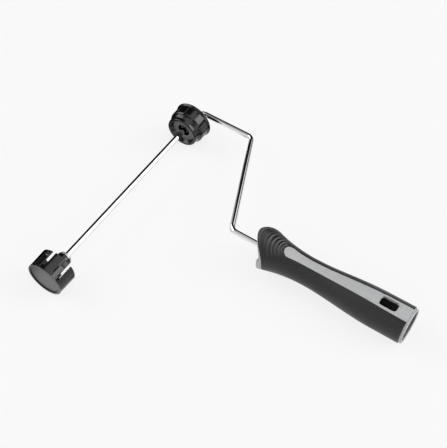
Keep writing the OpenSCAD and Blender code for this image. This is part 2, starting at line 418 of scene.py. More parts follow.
def shade_dark_steel():
    """Steel kept dark as painted shade, for the pair deep in the nose where the hole is in shadow."""
    look = Surface("steel_painted_dark_for_shade", (0.1, 0.1, 0.105), 0.5, metallic=1.0)
    look.roughness(look.fit(look.noise(1.2, 3.0), 0.3, 0.7, 0.42, 0.6))
    # painted shade: a near-black colour stands for the shadow deep in the nose
    look.color(look.noise(0.7, 4.0), (0.07, 0.07, 0.072), (0.14, 0.14, 0.145))
    look.bump(look.noise(0.2, 2.0), 0.012, 0.6)
    return look.material


def cap_plastic():
    """Satin-gloss black moulding with flow marks, fine grain and light rubbing."""
    look = Surface("black_moulding", (0.012, 0.012, 0.013), 0.3)
    look.shader.inputs["Specular IOR Level"].default_value = 0.45
    rubbed = look.fit(look.noise(2.4, 5.0), 0.5, 0.72, 0.0, 1.0)
    streaks = look.fit(look.noise(0.6, 3.0, (8, 1, 1)), 0.52, 0.75, 0.0, 1.0)
    wear = look.times(rubbed, streaks)
    look.roughness(look.fit(wear, 0.0, 0.6, 0.17, 0.44))
    look.color(wear, (0.0025, 0.0025, 0.0027), (0.022, 0.022, 0.023))
    look.bump(look.noise(0.18, 2.0), 0.006, 0.5)
    look.bump(look.noise(5.0, 1.0), 0.03, 0.5)
    return look.material


def disc_plastic():
    """The same plastic with an eroded, satin face."""
    look = Surface("black_eroded_face", (0.03, 0.03, 0.032), 0.5)
    look.roughness(look.fit(look.noise(1.8, 4.0), 0.3, 0.7, 0.4, 0.56))
    look.color(look.noise(3.0, 4.0), (0.095, 0.095, 0.097), (0.13, 0.13, 0.133))
    look.bump(look.noise(0.16, 3.0), 0.02, 0.8)
    return look.material


def nylon():
    """Natural nylon with the cloudiness of a moulded bearing."""
    look = Surface("natural_nylon", (0.72, 0.71, 0.66), 0.45)
    look.roughness(look.fit(look.noise(0.8, 3.0), 0.3, 0.7, 0.36, 0.55))
    look.color(look.noise(1.5, 3.0), (0.66, 0.65, 0.59), (0.76, 0.75, 0.71))
    look.bump(look.noise(0.25, 2.0), 0.01, 0.6)
    return look.material


def soft_rubber():
    """Matte overmould: fine grain, faint handling polish and a little dust."""
    look = Surface("soft_overmould", (0.02, 0.02, 0.021), 0.62)
    look.shader.inputs["Specular IOR Level"].default_value = 0.5
    polish = look.noise(11, 3.0, (1, 2, 1))
    look.roughness(look.fit(polish, 0.32, 0.7, 0.36, 0.54))
    dust = look.noise(1.1, 5.0)
    look.color(look.fit(dust, 0.4, 0.75, 0.0, 1.0), (0.004, 0.004, 0.0042), (0.015, 0.015, 0.0155))
    look.bump(look.noise(0.32, 2.0), 0.035, 0.7)
    look.bump(look.noise(7.0, 1.0), 0.08, 0.5)
    return look.material


def core_plastic():
    """Light-grey hard moulding with an eroded texture."""
    look = Surface("grey_moulding", (0.42, 0.425, 0.43), 0.5)
    look.roughness(look.fit(look.noise(4.0, 3.0), 0.3, 0.7, 0.4, 0.58))
    look.color(look.noise(0.9, 4.0), (0.35, 0.353, 0.358), (0.45, 0.454, 0.46))
    look.bump(look.noise(0.3, 3.0), 0.03, 0.7)
    return look.material


CHROME = chrome()
ZINC = zinc_steel()
SHADE_DARK_STEEL = shade_dark_steel()
BLACK = cap_plastic()
BLACK_SATIN = disc_plastic()
NYLON = nylon()
RUBBER = soft_rubber()
GREY = core_plastic()


# ---- Wire ----------------------------------------------------------------------------------

def wire_centreline():
    """Points and directions along the wire, with the three bends as arcs."""
    path = [
        (WIRE_START_X, 0),
        (CRANK_X, 0),
        (CRANK_X, -CRANK_DROP),
        (HANDLE_X, -SHANK_START),
        (HANDLE_X, -TANG_END),
    ]
    path = [np.array((x, y, 0.0)) for x, y in path]
    ways = [(b - a) / np.linalg.norm(b - a) for a, b in zip(path, path[1:])]
    line = []
    steps = 18
    for i in range(1, len(path) - 1):
        before = ways[i - 1]
        after = ways[i]
        turn = math.acos(float(before @ after))
        side = np.sign(before[0] * after[1] - before[1] * after[0])
        left = np.array((-before[1], before[0], 0.0)) * side
        start = path[i] - before * BEND_R * math.tan(turn / 2)
        centre = start + left * BEND_R
        for k in range(steps + 1):
            angle = turn * k / steps
            point = centre - BEND_R * (left * math.cos(angle) - before * math.sin(angle))
            line.append((point, before * math.cos(angle) + left * math.sin(angle)))
    first = (path[0], ways[0])
    last = (path[-1], ways[-1])
    return first, line, last


def wire_end(point, direction, sign):
    """Stations over a cropped end of the wire, from its middle out over its broken edge."""
    chamfer = 0.5
    edges = [(0, 0), (0, WIRE_R - chamfer), (0.12, WIRE_R - 0.2), (chamfer, WIRE_R)]
    return [(point + direction * back * sign, direction, radius) for back, radius in edges]


TANG_WINGS_AT = (192, 212)


def tang_wing(at):
    """A flat swaged out of the wire, which keeps it from turning in the handle."""
    size = (10.0, 9.0, 2.4)

    def place(u, v, w):
        return (HANDLE_X + u - size[0] / 2, -at + v - size[1] / 2, w - size[2] / 2)

    return rounded_block(size, 0.6, (4, 4, 2), place)


def add_wire():
    """The whole wire, from its cropped free end to the tang's flats inside the handle."""
    first, line, last = wire_centreline()
    stations = wire_end(*first, 1)
    for point, direction in line:
        stations.append((point, direction, WIRE_R))
    stations += list(reversed(wire_end(*last, -1)))
    wings = [tang_wing(at) for at in TANG_WINGS_AT]
    shape = joined(tube(stations, 48), *wings)
    add_piece("bent_wire", shape, CHROME, "frame")


# ---- Fasteners and bearings ----------------------------------------------------------------

BORE_R = 3.06


def add_washer(node, material=ZINC):
    """A flat washer that fills its CAD node's box."""
    low, high = box_mm(node)
    outer = high[1]
    ease = 0.16
    outline = eased([
        (low[0], BORE_R, ease),
        (low[0], outer, ease),
        (high[0], outer, ease),
        (high[0], BORE_R, ease),
    ])
    add_piece(node, lathe(outline, around_axle, 96), material, "frame")


def add_retainer(node, opens, material=ZINC):
    """Dished push-on ring whose teeth bite on the wire; opens is the way its dish faces."""
    low, high = box_mm(node)
    flat = low[0] if opens > 0 else high[0]
    outer = high[1]
    thick = 0.5
    dish = high[0] - low[0] - thick
    tooth_depth = 0.8
    tooth_reach = 1.3
    tooth_count = 6
    profile = [
        (0, WIRE_R, 0.1),
        (0, WIRE_R + 1, 0.5),
        (dish, outer - 1, 0.5),
        (dish, outer, 0.16),
        (dish + thick, outer, 0.16),
        (dish + thick, outer - 1, 0.5),
        (thick, WIRE_R + 1, 0.5),
        (thick, WIRE_R, 0.1),
    ]
    outline = eased([(flat + opens * along, radius, reach) for along, radius, reach in profile])

    def teeth(angle, radius):
        between = 0.5 + 0.5 * math.tanh(9 * (math.cos(tooth_count * angle) - 0.3))
        inward = max(0.0, 1 - (radius - WIRE_R) / tooth_reach)
        return radius + tooth_depth * between * inward

    shape = lathe(outline, around_axle, 144, teeth)
    add_piece(node, shape, material, "frame")


def add_bush(node, body):
    """The bearing sleeve between a cap's hub and the wire."""
    low, high = box_mm(node)
    ease = 0.3
    outline = eased([
        (low[0], BORE_R, ease),
        (low[0], high[1], 0.1),
        (high[0], high[1], 0.1),
        (high[0], BORE_R, ease),
    ])
    add_piece(node, lathe(outline, around_axle, 96), NYLON, body)


# ---- Free-end cap --------------------------------------------------------------------------

# Distances behind the face, radii, and the degrees from which to which a finger goes
NEAR_RIM_R = 19.78
NEAR_RIM_BACK = 1.85
NEAR_GROOVE_BACK = 2.35
NEAR_RING_BACK = 6.6
NEAR_WEB_BACK = 4.8
NEAR_HUB_R = 7.46
NEAR_HUB_BACK = 31.5
NEAR_DISC_R = 17.2
NEAR_DISC_SEAT = 2.6
NEAR_POCKET_R = 6.8
NEAR_BUSH_FRONT = 8.0
FINGER_COUNT = 6
FINGER_ROOT = 0.9
FINGER_TIP = 22.4
FINGER_WIDE = (60.6, 90.2)
FINGER_NARROW = (41.9, 57.4)
CATCH_TOP = 21.1
BUSH_R = 4.96


def finger(first, last, length, inner, outer, counts, edge=0.4):
    """A springy finger from first to last degrees; inner and outer give radii along it."""
    middle_r = (inner(0) + outer(0)) / 2
    width = math.radians(last - first) * middle_r
    thick = outer(0) - inner(0)
    start = math.radians(first)

    def place(u, v, w):
        share = w / thick
        radius = inner(v) + (outer(v) - inner(v)) * share
        return around_axle(start + u / middle_r, v, radius)

    return rounded_block((width, length, thick), edge, counts, place)


def ring_of(shape, along):
    """Evenly spaced copies round the axle of a shape that is first moved along it."""
    points, faces = shape
    copies = []
    for i in range(FINGER_COUNT):
        turn = 2 * math.pi * i / FINGER_COUNT
        c = math.cos(turn)
        s = math.sin(turn)
        copies.append(([(x + along, y * c + z * s, z * c - y * s) for x, y, z in points], faces))
    return copies


def near_inner(v):
    """Inside of a finger, thicker at its root; v runs from inside the rim to the tip."""
    at = v + FINGER_ROOT
    return 17.35 + 0.75 * smooth((at - 4.0) / 2.5)


def near_outer(v):
    """Outside of a finger, which leans out a little towards its tip."""
    at = v + FINGER_ROOT
    return 19.55 + 0.42 * min(1.0, at / FINGER_TIP)


def near_catch(v):
    """Outside of a narrow finger, with the wedge that holds the sleeve."""
    at = v + FINGER_ROOT
    step = 0.12 * smooth((at - 15.4) / 1.2)
    ramp = 0.32 * max(0.0, at - 16.0) / 5.2
    fall = 0.6 * max(0.0, at - CATCH_TOP)
    return near_outer(v) + step + ramp - fall


def add_near_cap():
    """The cap's face rim, web and hub in one outline, with its fingers round them."""
    outline = eased([
        (0, NEAR_DISC_R + 0.05, 0.2),
        (0, 19.2, 0.3),
        (0.6, NEAR_RIM_R, 0.3),
        (NEAR_RIM_BACK, NEAR_RIM_R, 0.3),
        (NEAR_RIM_BACK, 19.1, 0.1),
        (NEAR_GROOVE_BACK, 19.1, 0.1),
        (NEAR_GROOVE_BACK, 19.5, 0.12),
        (NEAR_GROOVE_BACK + 0.3, 19.5, 0.12),
        (NEAR_GROOVE_BACK + 0.3, 17.6, 0.3),
        (NEAR_RING_BACK, 17.5, 0.3),
        (NEAR_RING_BACK, 16.2, 0.3),
        (NEAR_WEB_BACK, 15.8, 0.4),
        (NEAR_WEB_BACK, NEAR_HUB_R, 0.9),
        (NEAR_HUB_BACK, NEAR_HUB_R, 0.5),
        (NEAR_HUB_BACK, BUSH_R, 0.15),
        (NEAR_BUSH_FRONT, BUSH_R, 0.1),
        (NEAR_BUSH_FRONT, NEAR_POCKET_R, 0.2),
        (NEAR_DISC_SEAT, NEAR_POCKET_R, 0.2),
        (NEAR_DISC_SEAT, NEAR_DISC_R + 0.05, 0.15),
    ], 5)
    outline = [(FACE_X + along, radius) for along, radius in outline]
    length = FINGER_TIP - FINGER_ROOT
    wide = finger(*FINGER_WIDE, length, near_inner, near_outer, (16, 12, 2))
    narrow = finger(*FINGER_NARROW, length, near_inner, near_catch, (9, 30, 2))
    fingers = ring_of(wide, FACE_X + FINGER_ROOT) + ring_of(narrow, FACE_X + FINGER_ROOT)
    shape = joined(lathe(outline, around_axle, 180), *fingers)
    piece = add_piece("near_cap", shape, BLACK, "free_end_cap")

    def on_rim_face(face):
        return face.center.x / MM < FACE_X + 0.95 and face.normal.x < -0.1

    paint(piece, BLACK_SATIN, on_rim_face)


def add_near_disc():
    """The disc in the cap's face, very slightly hollow within its edge."""
    low, high = box_mm("near_end_disc")
    outline = eased([
        (low[0] + 0.1, 0, 0),
        (low[0] + 0.1, 14.6, 0.6),
        (low[0], 15.2, 0.6),
        (low[0], NEAR_DISC_R, 0.25),
        (high[0], NEAR_DISC_R, 0.1),
        (high[0], 0, 0),
    ])
    shape = lathe(outline, around_axle, 180)
    add_piece("near_end_disc", shape, BLACK_SATIN, "free_end_cap")


# ---- Inner cap -----------------------------------------------------------------------------

DRUM_R = 20.7
DRUM_LEN = 12.6
LEAD_IN_LEN = 2.1
LEAD_IN_DROP = 0.9
PANEL_INNER_R = 18.8
PANELS = ((37.8, 63.1), (67.9, 91.2))
FLANGE_R = 22.15
# The nose sits in the flange's hole, with its shoulder at the front of that hole
NOSE_SEAT_R = 15.0
NOSE_SEAT_X = -3.0
NOSE_BACK_X = 2.6
NOSE_R = 18.1
NOSE_STEP_R = 18.7
NOSE_STEP_X = -12.75
DISH_MOUTH_R = 15.6
DISH_R = 13.3
DISH_DEPTH = 4.4
RECESS_R = 7.2
RECESS_DEPTH = 10.0


def drum_outer(v):
    """Outside of a drum panel; v runs from its lead-in to inside the flange."""
    return DRUM_R - LEAD_IN_DROP * max(0.0, 1 - v / LEAD_IN_LEN)


def drum_inner(v):
    """Inside of a drum panel, the same all along it."""
    return PANEL_INNER_R


def add_far_cap():
    """The flange that stops the sleeve, and the drum's panels, whose ends sink into it."""
    flange = eased([
        (FLANGE_BACK_X, NOSE_SEAT_R, 0.1),
        (FLANGE_BACK_X, FLANGE_R - 0.4, 0.2),
        (FLANGE_BACK_X - 0.4, FLANGE_R, 0.2),
        (2.2, FLANGE_R, 0.3),
        (0, 21.2, 0.25),
        (0, 20.6, 0.15),
        (-0.6, 20.6, 0.15),
        (-0.6, 18.85, 0.2),
        (NOSE_SEAT_X, 18.85, 0.1),
        (NOSE_SEAT_X, NOSE_SEAT_R, 0.1),
    ], 5)
    sunk = 0.4
    panels = []
    for first, last in PANELS:
        panel = finger(first, last, DRUM_LEN + sunk, drum_inner, drum_outer, (14, 20, 2), 0.3)
        panels += ring_of(panel, -DRUM_LEN)
    shape = joined(lathe(flange, around_axle, 180), *panels)
    add_piece("far_cap", shape, BLACK, "inner_cap")


def add_far_nose():
    """The stepped nose: a shallow dish in front, and the recess of the washer in its floor."""
    recess_floor = NOSE_FRONT_X + RECESS_DEPTH
    dish_floor = NOSE_FRONT_X + DISH_DEPTH
    outline = eased([
        (recess_floor, BUSH_R, 0.15),
        (recess_floor, RECESS_R, 0.3),
        (dish_floor, RECESS_R, 0.3),
        (dish_floor, DISH_R, 0.4),
        (NOSE_FRONT_X, DISH_MOUTH_R, 0.5),
        (NOSE_FRONT_X, NOSE_R, 1.7),
        (-16.8, NOSE_R, 0.5),
        (NOSE_STEP_X, 19.4, 0.25),
        (NOSE_STEP_X, NOSE_STEP_R, 0.1),
        (NOSE_SEAT_X, NOSE_STEP_R, 0.1),
        (NOSE_SEAT_X, NOSE_SEAT_R, 0.1),
        (NOSE_BACK_X, NOSE_SEAT_R, 0.1),
        (NOSE_BACK_X, BUSH_R, 0.15),
    ], 7)
    shape = lathe(outline, around_axle, 180)
    piece = add_piece("far_nose", shape, BLACK, "inner_cap")

    def on_dish_floor(face):
        reach = math.hypot(face.center.y, face.center.z) / MM
        in_dish = face.center.x / MM < dish_floor + 0.05 and reach < DISH_R - 0.1
        return in_dish and face.normal.x < -0.9

    paint(piece, BLACK_SATIN, on_dish_floor)


# ---- Handle --------------------------------------------------------------------------------

WAIST_AT = 208.0
WAIST_D = 29.0
GRIP_END_D = 38.2
FLARE_R = 163.0
FLARE_BACK = 284.0
GRIP_FRONT = 164.8
GRIP_BOW = 0.024
LIP_FRONT = 162.4
LIP_BOW = 0.02
STRIP_FRONT = 178.8
STRIP_TIP_R = 6.35
STRIP_WAIST_AT = 205.0
STRIP_WAIST_W = 9.4
STRIP_FRONT_W = 12.7
STRIP_BACK_W = 16.4
STRIP_BACK_AT = 310.0
TIP_AT = STRIP_FRONT + STRIP_TIP_R
SOCKET_R = 16.0
SOCKET_DEPTH = 46.0
CONE_LEN = 34.0
CONE_END_R = 9.0
WINDOW_LEN = 17.8
WINDOW_W = 10.6
WINDOW_CORNER_R = 3.0
WINDOW_MIDDLE_AT = 291.6


def past_waist(at):
    """0 up to the waist and 1 from the end of the rear flare."""
    return smooth((at - WAIST_AT) / (FLARE_BACK - WAIST_AT))


def grip_r(at):
    """The grip's outer radius: a round flare ahead of the waist and a soft one behind it."""
    ahead = max(0.0, WAIST_AT - at)
    flare = FLARE_R - math.sqrt(FLARE_R ** 2 - ahead ** 2)
    return WAIST_D / 2 + flare + (GRIP_END_D - WAIST_D) / 2 * past_waist(at)


def core_r(at):
    """The core under the rubber, which is 2 mm thick in front and 1 mm at the back."""
    return grip_r(at) - 2 + past_waist(at)


def strip_half(at):
    """Half the width of the hard strip; its front end is round."""
    if at < TIP_AT:
        return math.sqrt(max(0.0, STRIP_TIP_R ** 2 - (TIP_AT - at) ** 2))
    if at < STRIP_WAIST_AT:
        share = ((STRIP_WAIST_AT - at) / (STRIP_WAIST_AT - TIP_AT)) ** 2
        return (STRIP_WAIST_W + (STRIP_FRONT_W - STRIP_WAIST_W) * share) / 2
    share = smooth((at - STRIP_WAIST_AT) / (STRIP_BACK_AT - STRIP_WAIST_AT))
    return (STRIP_WAIST_W + (STRIP_BACK_W - STRIP_WAIST_W) * share) / 2


@functools.lru_cache(maxsize=None)
def bowed_front(angle, front, bow):
    """Where a front edge that bows forward up the thumb rest lies at this angle."""
    at = front
    for _ in range(12):
        height = max(0.0, grip_r(at) * math.cos(angle))
        at = front - bow * height * height
    return at


def edge_drop(distance, radius=0.45):
    """How far a rounded edge has fallen at this distance from the edge."""
    if distance >= radius:
        return 0.0
    return radius - math.sqrt(radius ** 2 - (radius - max(0.0, distance)) ** 2)


def hill(distance, width):
    """1 where the distance is 0, fading to nothing over about two widths."""
    return math.exp(-(distance / width) ** 2)


def thumb_relief(side, at):
    """Raised arcs round the front end of the strip, fading out at their ends."""
    arc_count = 5
    first_arc_r = 9.4
    pad_inner_r = 7.3
    pad_outer_r = 25.2
    arc_height = 0.75
    pad_depth = 0.45
    ahead = TIP_AT - at
    reach = math.hypot(side, ahead)
    bearing = math.degrees(math.atan2(abs(side), ahead))
    fade = 1 - smooth((bearing - 40) / 18)
    radii = [first_arc_r + 2.9 * k + 0.2 * k * k for k in range(arc_count)]
    arcs = sum(hill(reach - r, 0.55 + 0.025 * r) for r in radii)
    pad = smooth((reach - pad_inner_r) / 1.2) * (1 - smooth((reach - pad_outer_r) / 2))
    return fade * pad * (arc_height * arcs - pad_depth)


def bead_relief(from_front, height):
    """A soft bead along the front edge, strongest up the thumb rest."""
    strength = smooth((height + 6) / 16)
    return strength * (0.22 * hill(from_front - 1.3, 0.75) - 0.16 * hill(from_front - 3.1, 0.7))


def rubber_row(row_at, columns):
    """One row of the rubber's outside and inside, from one edge of the strip to the other."""
    most_relief = 0.35
    hair = 0.02
    outer = []
    inner = []
    strip_angle = math.asin(strip_half(row_at(0)) / grip_r(row_at(0)))
    for share in columns:
        angle = strip_angle + (2 * math.pi - 2 * strip_angle) * share
        at = row_at(angle)
        radius = grip_r(at)
        near_side = min(angle, 2 * math.pi - angle)
        side = radius * near_side
        height = radius * math.cos(angle)
        if at < TIP_AT:
            from_strip = math.hypot(radius * math.sin(near_side), TIP_AT - at) - STRIP_TIP_R
            if near_side > math.pi / 2:
                from_strip = STRIP_TIP_R
        else:
            from_strip = radius * (near_side - strip_angle)
        from_front = at - bowed_front(angle, GRIP_FRONT, GRIP_BOW)
        nearest = min(from_strip, from_front, GRIP_BACK - at)
        relief = thumb_relief(side, at) if at < TIP_AT and near_side < 1.6 else 0.0
        relief += bead_relief(from_front, height)
        lift = min(relief, most_relief) - edge_drop(nearest) - hair
        outer.append(around_handle(angle, at, radius + lift))
        inner.append(around_handle(angle, at, core_r(at) + hair))
    return outer, inner


def close_at_ends(count, dense):
    """Shares from 0 to 1, closer together at both ends."""
    shares = []
    for k in range(count + 1):
        turn = 2 * math.pi * k / count
        shares.append((turn - dense * math.sin(turn)) / (2 * math.pi))
    return shares


def rubber_rows():
    """Functions that give each row's place at an angle: bowed ahead of the strip, then level."""
    rows = []
    front_count = 84
    edge = [0.0, 0.04, 0.15, 0.3, 0.5]
    for back in edge:
        rows.append(lambda angle, back=back: bowed_front(angle, GRIP_FRONT, GRIP_BOW) + back)
    for k in range(1, front_count + 1):
        share = k / front_count

        def row_at(angle, share=share):
            front = bowed_front(angle, GRIP_FRONT, GRIP_BOW) + edge[-1]
            return front + (STRIP_FRONT - front) * share

        rows.append(row_at)
    tip_count = 16
    for k in range(1, tip_count + 1):
        at = TIP_AT - STRIP_TIP_R * math.cos(math.pi / 2 * k / tip_count)
        rows.append(lambda angle, at=at: at)
    rear_count = 70
    for k in range(1, rear_count + 1):
        at = TIP_AT + (GRIP_BACK - edge[-1] - TIP_AT) * k / rear_count
        rows.append(lambda angle, at=at: at)
    for back in reversed(edge[:-1]):
        rows.append(lambda angle, back=back: GRIP_BACK - back)
    return rows


def add_grip():
    """The rubber as one sheet, wrapped round the core from one edge of the strip to the other."""
    columns = close_at_ends(count=240, dense=0.62)
    outer = []
    inner = []
    for row_at in rubber_rows():
        out_row, in_row = rubber_row(row_at, columns)
        outer.append(out_row)
        inner.append(in_row)
    shape = closed_sheet(outer, inner)
    add_piece("grip_rubber", shape, RUBBER, "frame", sharp_over=50)


def core_front(angles):
    """Rings over the core's bowed front, its lip and the groove where the rubber begins."""
    rings = []
    for share in (0.12, 0.3, 0.5, 0.7, 0.85, 0.95):
        ring = []
        for angle in angles:
            radius = grip_r(bowed_front(angle, LIP_FRONT, LIP_BOW)) * share
            height = max(0.0, radius * math.cos(angle))
            ring.append(around_handle(angle, LIP_FRONT - LIP_BOW * height ** 2, radius))
        rings.append(ring)
    lip_edge = [(0.0, 0.65), (0.1, 0.3), (0.28, 0.12), (0.6, 0.05)]
    groove = [(-0.3, 0.13), (-0.1, 0.43), (-0.05, 2.03), (2.0, 2.03)]
    for front, bow, edge in ((LIP_FRONT, LIP_BOW, lip_edge), (GRIP_FRONT, GRIP_BOW, groove)):
        for back, sunk in edge:
            ring = []
            for angle in angles:
                at = bowed_front(angle, front, bow) + back
                ring.append(around_handle(angle, at, grip_r(at) - sunk))
            rings.append(ring)
    return rings


def core_body():
    """The inner moulding: front and lip, the body under the rubber, collar, socket and cone."""
    steps = 144
    angles = [2 * math.pi * k / steps for k in range(steps)]
    collar_r = core_r(GRIP_BACK)
    bottom = HANDLE_END - SOCKET_DEPTH
    level = [(at, core_r(at) - 0.03) for at in np.linspace(180, GRIP_BACK, 40)]
    level += [
        (GRIP_BACK + 0.05, collar_r),
        (HANDLE_END - 0.9, collar_r),
        (HANDLE_END - 0.5, collar_r - 0.08),
        (HANDLE_END - 0.15, collar_r - 0.35),
        (HANDLE_END, collar_r - 0.75),
        (HANDLE_END, SOCKET_R + 0.75),
        (HANDLE_END - 0.12, SOCKET_R + 0.45),
        (HANDLE_END - 0.45, SOCKET_R + 0.12),
        (HANDLE_END - 0.9, SOCKET_R),
        (bottom, SOCKET_R),
        (bottom - 0.6, SOCKET_R - 0.2),
        (bottom - CONE_LEN, CONE_END_R),
        (bottom - CONE_LEN, 0.0),
    ]
    rings = core_front(angles)
    for at, radius in level:
        rings.append([around_handle(angle, at, radius) for angle in angles])
    return stacked(rings)


def strip():
    """The hard strip along the top, proud of the core and level with the rubber."""
    half_shares = [0.2, 0.4, 0.6, 0.8, 0.9, 0.95, 0.985, 1]
    shares = [-share for share in reversed(half_shares)] + [0] + half_shares
    tip_count = 14
    back = GRIP_BACK + 0.02
    parting_line = 0.08
    places = []
    for k in range(tip_count):
        places.append(TIP_AT - STRIP_TIP_R * math.cos(math.pi / 2 * k / tip_count))
    places += list(np.linspace(TIP_AT, back, 60))
    outer = []
    inner = []
    for at in places:
        half = max(0.0, strip_half(at) - parting_line)
        top = []
        under = []
        for share in shares:
            angle = math.asin(share * half / grip_r(at))
            gap = half * (1 - abs(share))
            if at < TIP_AT:
                gap = STRIP_TIP_R - math.hypot(share * half, TIP_AT - at)
            drop = edge_drop(min(gap, back - at), 0.3)
            top.append(around_handle(angle, at, grip_r(at) - drop))
            under.append(around_handle(angle, at, core_r(at) - 0.06))
        outer.append(top)
        inner.append(under)
    return closed_sheet(outer, inner)


def chin():
    """Rounded lower part of the lip, which stands further ahead."""
    front = GRIP_FRONT - 6
    back = GRIP_FRONT - 0.6
    top = 5.5
    round_r = 1.4
    insets = []
    for degrees in range(0, 91, 18):
        angle = math.radians(degrees)
        at = front + round_r * (1 - math.cos(angle))
        insets.append((at, round_r * (1 - math.sin(angle))))
    insets += [(front + 3.0, 0.0), (back, 0.0)]
    rings = []
    steps = 96
    for at, inset in insets:
        radius = grip_r(max(at, front + round_r)) - 0.1 - inset
        ring = []
        for k in range(steps):
            x, y, z = around_handle(2 * math.pi * k / steps, at, radius)
            ring.append((x, y, min(z, top - inset)))
        rings.append(ring)
    return stacked(rings)


def boss():
    """The stepped collar round the wire where it enters the handle."""
    front = GRIP_FRONT - 10
    outline = eased([
        (front, WIRE_R + 0.02, 0.2),
        (front, 6.1, 0.6),
        (front + 4.5, 7.5, 0.1),
        (front + 9, 7.5, 0.1),
        (front + 9, WIRE_R + 0.02, 0.1),
    ])
    return lathe(outline, around_handle, 72)


def window_cutter():
    """A rounded prism that widens at the strip's surface, so the window gets an eased edge."""
    corner_x = WINDOW_W / 2 - WINDOW_CORNER_R
    corner_y = WINDOW_LEN / 2 - WINDOW_CORNER_R
    steps = 8
    outline = []
    for across, along, start in ((1, 1, 0), (-1, 1, 90), (-1, -1, 180), (1, -1, 270)):
        for k in range(steps + 1):
            angle = math.radians(start + 90 * k / steps)
            x = across * corner_x + WINDOW_CORNER_R * math.cos(angle)
            y = along * corner_y + WINDOW_CORNER_R * math.sin(angle)
            outline.append((x, y))
    rings = []
    widening = ((8.0, 0.0), (17.6, 0.0), (18.2, 0.1), (18.7, 0.35), (19.3, 0.9), (22.0, 3.6))
    for height, wider in widening:
        ring = []
        for x, y in outline:
            grow = 1 + wider / math.hypot(x, y)
            ring.append((HANDLE_X + x * grow, -WINDOW_MIDDLE_AT - y * grow, height))
        rings.append(ring)
    return stacked(rings)


def cut(shape, cutter):
    """The shape with the cutter's volume taken out of it."""
    parts = []
    for name, (points, faces) in (("whole", shape), ("cutter", cutter)):
        mesh = bpy.data.meshes.new(name)
        mesh.from_pydata(points, [], faces)
        part = bpy.data.objects.new(name, mesh)
        scene.collection.objects.link(part)
        parts.append(part)
    whole, tool = parts
    boolean = whole.modifiers.new("cut", "BOOLEAN")
    boolean.object = tool
    boolean.operation = "DIFFERENCE"
    boolean.solver = "EXACT"
    done = whole.evaluated_get(bpy.context.evaluated_depsgraph_get()).to_mesh()
    points = [tuple(v.co) for v in done.vertices]
    faces = [list(f.vertices) for f in done.polygons]
    for part in parts:
        bpy.data.objects.remove(part)
    return points, faces


def socket_painted_shade_plastic():
    """The same moulding inside the socket, with painted shade that darkens with depth."""
    look = Surface("grey_moulding_socket_painted_shade", (0.2, 0.2, 0.2), 0.6)
    along = look.node("ShaderNodeSeparateXYZ", (), [("Vector", look.place)]).outputs["Y"]
    mouth = -HANDLE_END * MM
    full_shade_at = mouth + 12 * MM
    depth = look.fit(along, mouth, full_shade_at, 0.0, 1.0)
    # painted shade: the bore goes from dim grey at the mouth to near black 12 mm in
    look.color(depth, (0.14, 0.14, 0.142), (0.025, 0.025, 0.026))
    look.roughness(look.fit(look.noise(2.0, 4.0), 0.3, 0.7, 0.5, 0.75))
    look.bump(look.noise(0.6, 3.0), 0.05, 0.6)
    return look.material


def in_socket(face):
    """Whether a face lies on the socket's bore or on the cone behind it."""
    middle = face.center / MM
    reach = math.hypot(middle.x - HANDLE_X, middle.z)
    faces_in = face.normal.x * (middle.x - HANDLE_X) + face.normal.z * middle.z < 0
    past_cone_end = -middle.y > HANDLE_END - SOCKET_DEPTH - CONE_LEN - 2
    return past_cone_end and reach < SOCKET_R + 0.02 and faces_in


def add_core():
    """The hard moulding: body and strip with the window cut through both, chin and boss."""
    cutter = window_cutter()
    shape = joined(cut(core_body(), cutter), cut(strip(), cutter), chin(), boss())
    piece = add_piece("handle_core", shape, GREY, "frame")
    # the socket's bore and cone take the painted-shade material
    paint(piece, socket_painted_shade_plastic(), in_socket)


# ---- Camera, floor and light ---------------------------------------------------------------

CAMERA_AT = Vector((-0.5464, -0.4000, 0.7354))
CAMERA_TARGET = Vector((-0.0975, -0.1063, 0.0))
CAMERA_ROLL = math.radians(0.6)
CAMERA_FOV = math.radians(27.9)


def add_camera():
    """Looks down on the frame from beside its free end, with the handle to the right."""
    data = bpy.data.cameras.new("camera")
    data.angle = CAMERA_FOV
    data.clip_start = 0.01
    camera = bpy.data.objects.new("camera", data)
    scene.collection.objects.link(camera)
    aim = (CAMERA_TARGET - CAMERA_AT).to_track_quat("-Z", "Y")
    roll = Matrix.Rotation(CAMERA_ROLL, 4, "Z")
    camera.matrix_world = Matrix.Translation(CAMERA_AT) @ aim.to_matrix().to_4x4() @ roll
    scene.camera = camera


FLOOR_HALF = 60.0
FLOOR_COLOR = 0.12
FLOOR_GLOW = 0.815
LAYER = 0.0001
BACKDROP_R = 50.0
BACKDROP_GLOW = 0.94
WHITE_CARD_GLOW = 0.95
BLACK_CARD_FROM_Y = 0.025
BLACK_STRIP_W = 0.028
AMBIENT = 0.08
# Each light: its direction, how many degrees it fills, where it has faded out, its strength
SOFT_BOXES = [
    ((0.49, -0.74, 0.46), 12, 25, 4.6),
    ((0.3, -0.2, 0.93), 16, 44, 1.5),
    ((-0.85, 0.3, 0.42), 26, 46, 0.72),
    ((-0.08, 0.82, 0.56), 17, 32, 3.0),
    ((-0.35, -0.9, 0.2), 16, 34, 1.6),
]
# The dark wall takes light away in the same way, within the half of the sky named second
DARK_WALL = ((0.66, 0.66, 0.38), 41, 49, 0.985)
DARK_WALL_SIDE = ((0.97, -0.24, 0.0), 88, 91, 1.0)


def stage_piece(name, points, faces, height, color, glow):
    """A stage piece that glows evenly; its points are given in metres."""
    mesh = bpy.data.meshes.new(name)
    mesh.from_pydata(points, [], faces)
    piece = bpy.data.objects.new(name, mesh)
    piece.location.z = height
    scene.collection.objects.link(piece)
    look = Surface(name + "_look", (color, color, color), 0.9)
    look.shader.inputs["Specular IOR Level"].default_value = 0.0
    look.shader.inputs["Emission Color"].default_value = (1, 1, 1, 1)
    look.shader.inputs["Emission Strength"].default_value = glow
    mesh.materials.append(look.material)
    return piece


